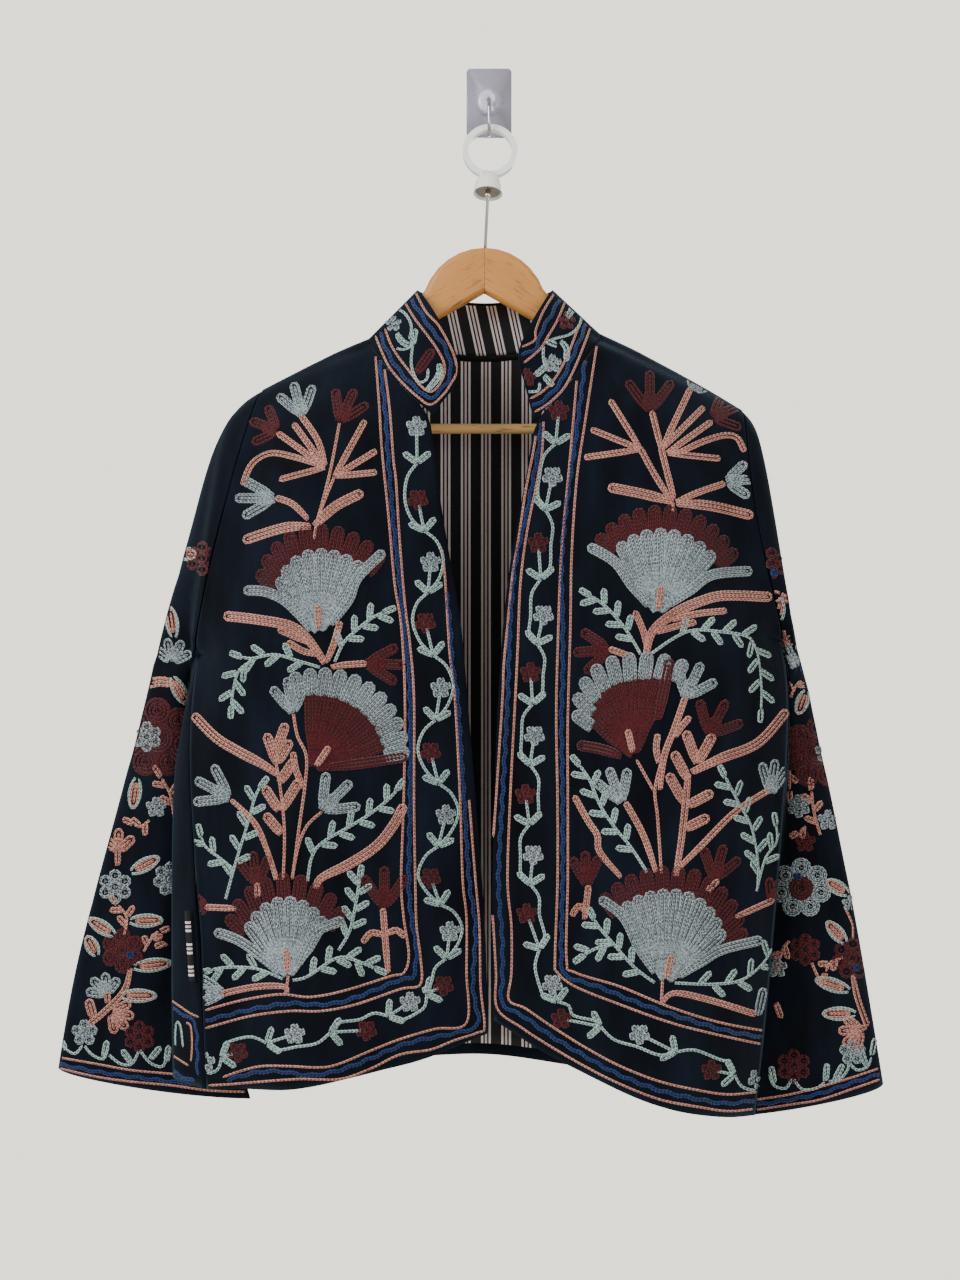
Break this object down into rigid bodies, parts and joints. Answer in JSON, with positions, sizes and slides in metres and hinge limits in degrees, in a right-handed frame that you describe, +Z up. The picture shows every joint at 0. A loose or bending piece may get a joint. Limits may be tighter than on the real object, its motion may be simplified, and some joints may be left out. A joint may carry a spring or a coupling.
{
  "type": "embroidered velvet jacket on a wooden hanger with its wall hook",
  "caption": "Open-fronted velvet jacket with chain-stitch flowers and striped lining, hanging on a wooden hanger from a clear stick-on wall hook.",
  "frame": {"origin": "middle of the hook plate's back face, where it sticks to the wall", "axes": "+Z up the wall; the wall is the plane Y = 0 and +Y goes into it; the jacket's front faces -Y; +X to the viewer's right, which is the wearer's left"},
  "size_m": [0.67, 0.1111, 0.868],
  "materials": {
    "velvet": "deep pile, near black navy, with chain-stitch embroidery",
    "stripe": "matt black cotton with groups of thin pale lines",
    "wood": "clear satin lacquer",
    "ring_white": "glossy enamel",
    "washer_metal": "worn grey brown",
    "pin_metal": "polished",
    "plate_clear": "clear, faintly violet",
    "hook_chrome": "polished"
  },
  "bodies": {
    "root": {"front_right": "velvet", "front_left": "velvet", "back": "velvet", "sleeve_right": "velvet", "sleeve_left": "velvet", "collar": "velvet", "lining_right": "stripe", "lining_left": "stripe", "lining_back": "stripe", "collar_lining": "stripe", "pocket_bag_right": "stripe", "hanger_arm_right": "wood", "hanger_arm_left": "wood", "hanger_bar": "wood", "hanger_ring": "ring_white", "hanger_washer": "washer_metal", "hanger_pin": "pin_metal", "wall_plate": "plate_clear", "wall_hook": "hook_chrome"}
  },
  "joints": []
}
